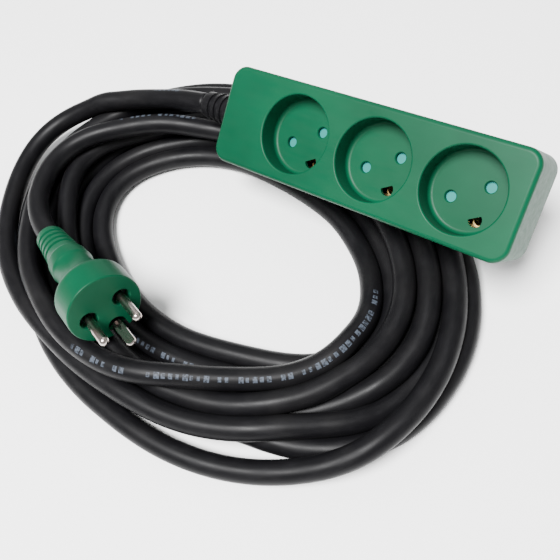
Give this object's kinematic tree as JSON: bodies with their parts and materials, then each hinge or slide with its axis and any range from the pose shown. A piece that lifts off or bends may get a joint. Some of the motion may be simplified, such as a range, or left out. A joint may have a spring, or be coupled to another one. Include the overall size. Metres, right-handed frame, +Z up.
{
  "type": "extension cord",
  "caption": "Extension cord with a rectangular outlet block for three earthed round plugs, a thick rubber cord in a loose oval coil and a moulded plug.",
  "frame": {"origin": "on the surface that the coil lies on, below the middle of the outlet block", "axes": "+Z up, +X along the outlet block's length as seen from above, from its cord end to its far end, -Y towards the side that the sockets face"},
  "size_m": [0.3124, 0.2232, 0.0874],
  "materials": {
    "green_plastic": "satin moulded plastic",
    "teal_plastic": "moulded plastic",
    "rubber": "matt rubber sheath",
    "black_plastic": "matt moulded plastic",
    "nickel": "nickel plate, slightly rubbed",
    "brass": "stamped brass strip",
    "steel": "zinc-plated steel",
    "line_insulation": "core insulation",
    "neutral_insulation": "core insulation",
    "earth_insulation": "core insulation"
  },
  "bodies": {
    "set": {"base_cover": "green_plastic", "base_screw_1": "steel", "base_screw_2": "steel", "base_screw_3": "steel", "base_screw_4": "steel", "clamp_screw_1": "steel", "clamp_screw_2": "steel", "cord_clamp": "steel", "cord_coil": "rubber", "cord_inner_end": "rubber", "cord_to_block": "rubber", "cord_to_plug": "rubber", "earth_busbar": "brass", "earth_core": "earth_insulation", "earth_pin": "nickel", "earth_terminal_screw": "steel", "entry_sleeve": "rubber", "line_busbar": "brass", "line_core": "line_insulation", "line_pin": "nickel", "line_terminal_screw": "steel", "neutral_busbar": "brass", "neutral_core": "neutral_insulation", "neutral_pin": "nickel", "neutral_terminal_screw": "steel", "pin_carrier": "black_plastic", "plug_body": "green_plastic", "shutter_retainer_1": "steel", "shutter_retainer_2": "steel", "shutter_retainer_3": "steel", "shutter_spring_1": "steel", "shutter_spring_2": "steel", "shutter_spring_3": "steel", "top_cover": "green_plastic"},
    "shutter_1": {"shutter_1": "teal_plastic"},
    "shutter_2": {"shutter_2": "teal_plastic"},
    "shutter_3": {"shutter_3": "teal_plastic"}
  },
  "joints": [
    {"name": "shutter_1_turn", "type": "hinge", "parent": "set", "child": "shutter_1", "pos_m": [-0.046, -0.00096, 0.04769], "axis": [-0.0833, -0.6211, 0.7793], "range_deg": [0, 42], "stiffness_Nm_per_rad": 0.002, "springref_deg": -17.19},
    {"name": "shutter_2_turn", "type": "hinge", "parent": "set", "child": "shutter_2", "pos_m": [0.00023, -0.00096, 0.05263], "axis": [-0.0833, -0.6211, 0.7793], "range_deg": [0, 42], "stiffness_Nm_per_rad": 0.002, "springref_deg": -17.19},
    {"name": "shutter_3_turn", "type": "hinge", "parent": "set", "child": "shutter_3", "pos_m": [0.04647, -0.00096, 0.05757], "axis": [-0.0833, -0.6211, 0.7793], "range_deg": [0, 42], "stiffness_Nm_per_rad": 0.002, "springref_deg": -17.19}
  ]
}
